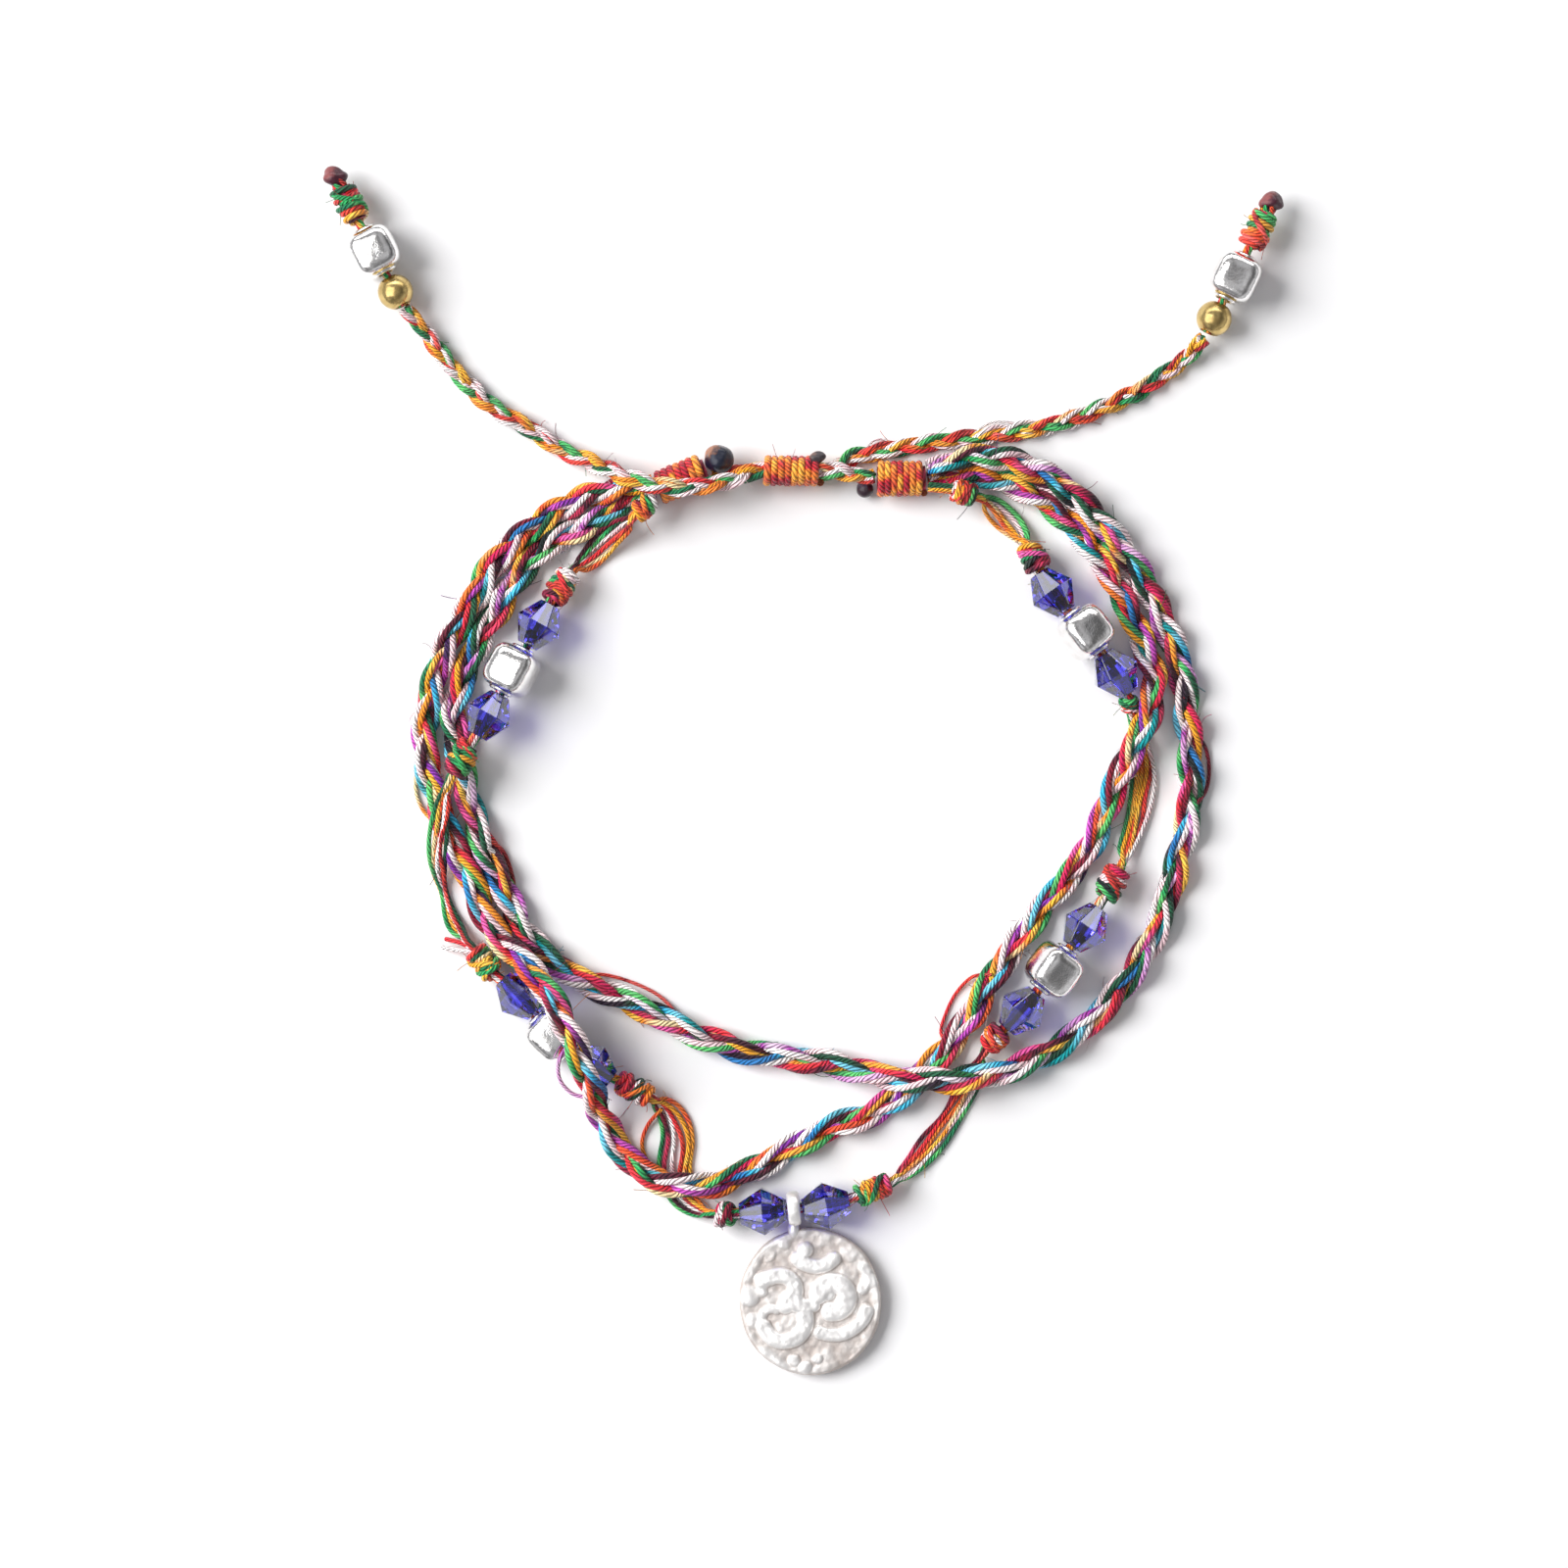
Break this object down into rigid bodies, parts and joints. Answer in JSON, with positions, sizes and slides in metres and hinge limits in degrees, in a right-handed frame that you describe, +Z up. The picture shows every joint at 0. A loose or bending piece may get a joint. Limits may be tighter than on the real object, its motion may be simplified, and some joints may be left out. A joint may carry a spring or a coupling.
{
  "type": "string bracelet",
  "caption": "Adjustable multi-strand string bracelet of thread braids and a knotted beaded thread, with faceted crystals, silver cubes, a cast disc pendant and two pull cords.",
  "frame": {"origin": "middle of the laid-out bracelet's box, on the surface that it lies on", "axes": "+Z up from the surface, +Y from the pendant towards the pull cords' ends, +X to the right seen from above"},
  "size_m": [0.081, 0.1023, 0.006],
  "materials": {
    "turquoise_thread": "stranded cotton, twisted",
    "purple_thread": "stranded cotton, twisted",
    "crimson_thread": "stranded cotton, twisted",
    "dark_thread": "stranded cotton, twisted",
    "gold_thread": "stranded cotton, twisted",
    "green_thread": "stranded cotton, twisted",
    "orange_thread": "stranded cotton, twisted",
    "crystal": "faceted, polished",
    "silver_metal": "polished",
    "cast_metal": "cast, satin",
    "brass": "polished",
    "melted_thread": "melted, glossy lump"
  },
  "bodies": {
    "root": {"bead_knot_1": "orange_thread", "bead_knot_10": "orange_thread", "bead_knot_11": "orange_thread", "bead_knot_12": "orange_thread", "bead_knot_2": "orange_thread", "bead_knot_3": "orange_thread", "bead_knot_4": "orange_thread", "bead_knot_5": "orange_thread", "bead_knot_6": "orange_thread", "bead_knot_7": "orange_thread", "bead_knot_8": "orange_thread", "bead_knot_9": "orange_thread", "beaded_thread_1": "orange_thread", "beaded_thread_2": "orange_thread", "beaded_thread_3": "orange_thread", "beaded_thread_4": "orange_thread", "beaded_thread_5": "orange_thread", "beaded_thread_6": "orange_thread", "brass_bead_1": "brass", "brass_bead_2": "brass", "centre_wrap": "orange_thread", "cord_end_cube_1": "silver_metal", "cord_end_cube_2": "silver_metal", "cord_end_knot_1": "green_thread", "cord_end_knot_2": "green_thread", "cord_end_tip_1": "melted_thread", "cord_end_tip_2": "melted_thread", "crystal_1": "crystal", "crystal_10": "crystal", "crystal_2": "crystal", "crystal_3": "crystal", "crystal_4": "crystal", "crystal_5": "crystal", "crystal_6": "crystal", "crystal_7": "crystal", "crystal_8": "crystal", "crystal_9": "crystal", "left_cord_strand_1": "gold_thread", "left_cord_strand_2": "crimson_thread", "left_cord_strand_3": "green_thread", "left_wrap": "orange_thread", "left_wrap_melted_end": "melted_thread", "lower_braid_strand_1": "dark_thread", "lower_braid_strand_2": "gold_thread", "lower_braid_strand_3": "green_thread", "middle_braid_strand_1": "turquoise_thread", "middle_braid_strand_2": "purple_thread", "middle_braid_strand_3": "crimson_thread", "pendant": "cast_metal", "right_cord_strand_1": "gold_thread", "right_cord_strand_2": "crimson_thread", "right_cord_strand_3": "green_thread", "right_wrap": "orange_thread", "right_wrap_melted_end": "melted_thread", "silver_cube_1": "silver_metal", "silver_cube_2": "silver_metal", "silver_cube_3": "silver_metal", "silver_cube_4": "silver_metal"}
  },
  "joints": []
}
